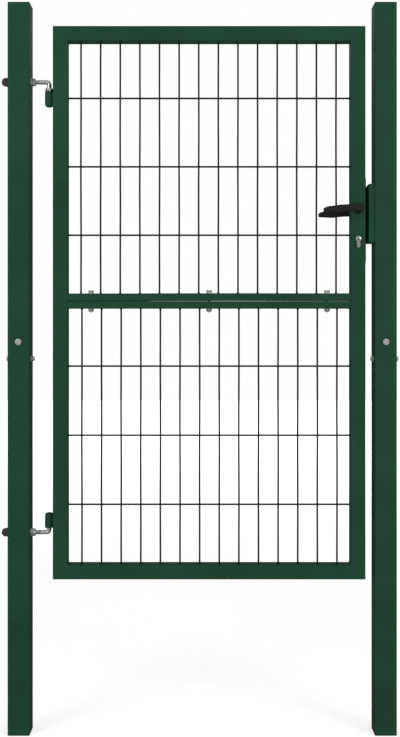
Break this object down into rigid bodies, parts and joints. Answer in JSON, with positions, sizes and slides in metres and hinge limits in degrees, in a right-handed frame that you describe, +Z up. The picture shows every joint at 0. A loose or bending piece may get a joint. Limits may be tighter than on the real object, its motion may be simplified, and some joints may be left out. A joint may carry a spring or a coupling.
{
  "type": "metal garden gate",
  "caption": "Garden gate of square steel tube and welded wire mesh, hung between posts on hook hinges, with a lever handle, lock cylinder and keeper.",
  "frame": {"origin": "centre of the hinge post's foot, on its flat lower end", "axes": "+X from the hinge post towards the latch post, +Y from the front towards the rear, +Z up the posts; the leaf opens towards -Y"},
  "size_m": [1.0925, 0.133, 2],
  "materials": {
    "green_coat": "satin",
    "green_mesh": "satin",
    "green_plastic": "satin",
    "zinc": "satin",
    "black_plastic": "satin",
    "nickel": "satin"
  },
  "bodies": {
    "posts": {"hinge_post_lower": "green_coat", "hinge_post_upper": "green_coat", "hinge_post_sleeve": "green_coat", "hinge_post_cap": "green_plastic", "hinge_post_bolts": "zinc", "latch_post_lower": "green_coat", "latch_post_upper": "green_coat", "latch_post_sleeve": "green_coat", "latch_post_cap": "green_plastic", "latch_post_bolts": "zinc", "upper_hinge_hook": "zinc", "lower_hinge_hook": "zinc", "upper_hinge_nuts": "zinc", "lower_hinge_nuts": "zinc", "upper_hinge_cap": "black_plastic", "lower_hinge_cap": "black_plastic", "keeper": "green_coat"},
    "leaf": {"upper_hinge_stile": "green_coat", "upper_latch_stile": "green_coat", "top_rail": "green_coat", "upper_mid_rail": "green_coat", "upper_mesh": "green_mesh", "lower_hinge_stile": "green_coat", "lower_latch_stile": "green_coat", "bottom_rail": "green_coat", "lower_mid_rail": "green_coat", "lower_mesh": "green_mesh", "upper_hinge_lug": "green_coat", "lower_hinge_lug": "green_coat", "frame_bolts": "zinc", "lock_case": "zinc", "lock_forend": "green_coat", "latch_bolt": "zinc", "dead_bolt": "zinc", "lock_cylinder": "nickel", "front_rose": "black_plastic", "rear_rose": "black_plastic"},
    "handle": {"handle_spindle": "zinc", "front_lever": "black_plastic", "rear_lever": "black_plastic"}
  },
  "joints": [
    {"name": "leaf_swing", "type": "hinge", "parent": "posts", "child": "leaf", "pos_m": [0.08, 0, 1.18], "axis": [0, 0, -1], "range_deg": [0, 90]},
    {"name": "handle_turn", "type": "hinge", "parent": "leaf", "child": "handle", "pos_m": [0.928, 0, 1.437], "axis": [0, -1, 0], "range_deg": [0, 40], "stiffness_Nm_per_rad": 0.8, "springref_deg": -20.05}
  ]
}
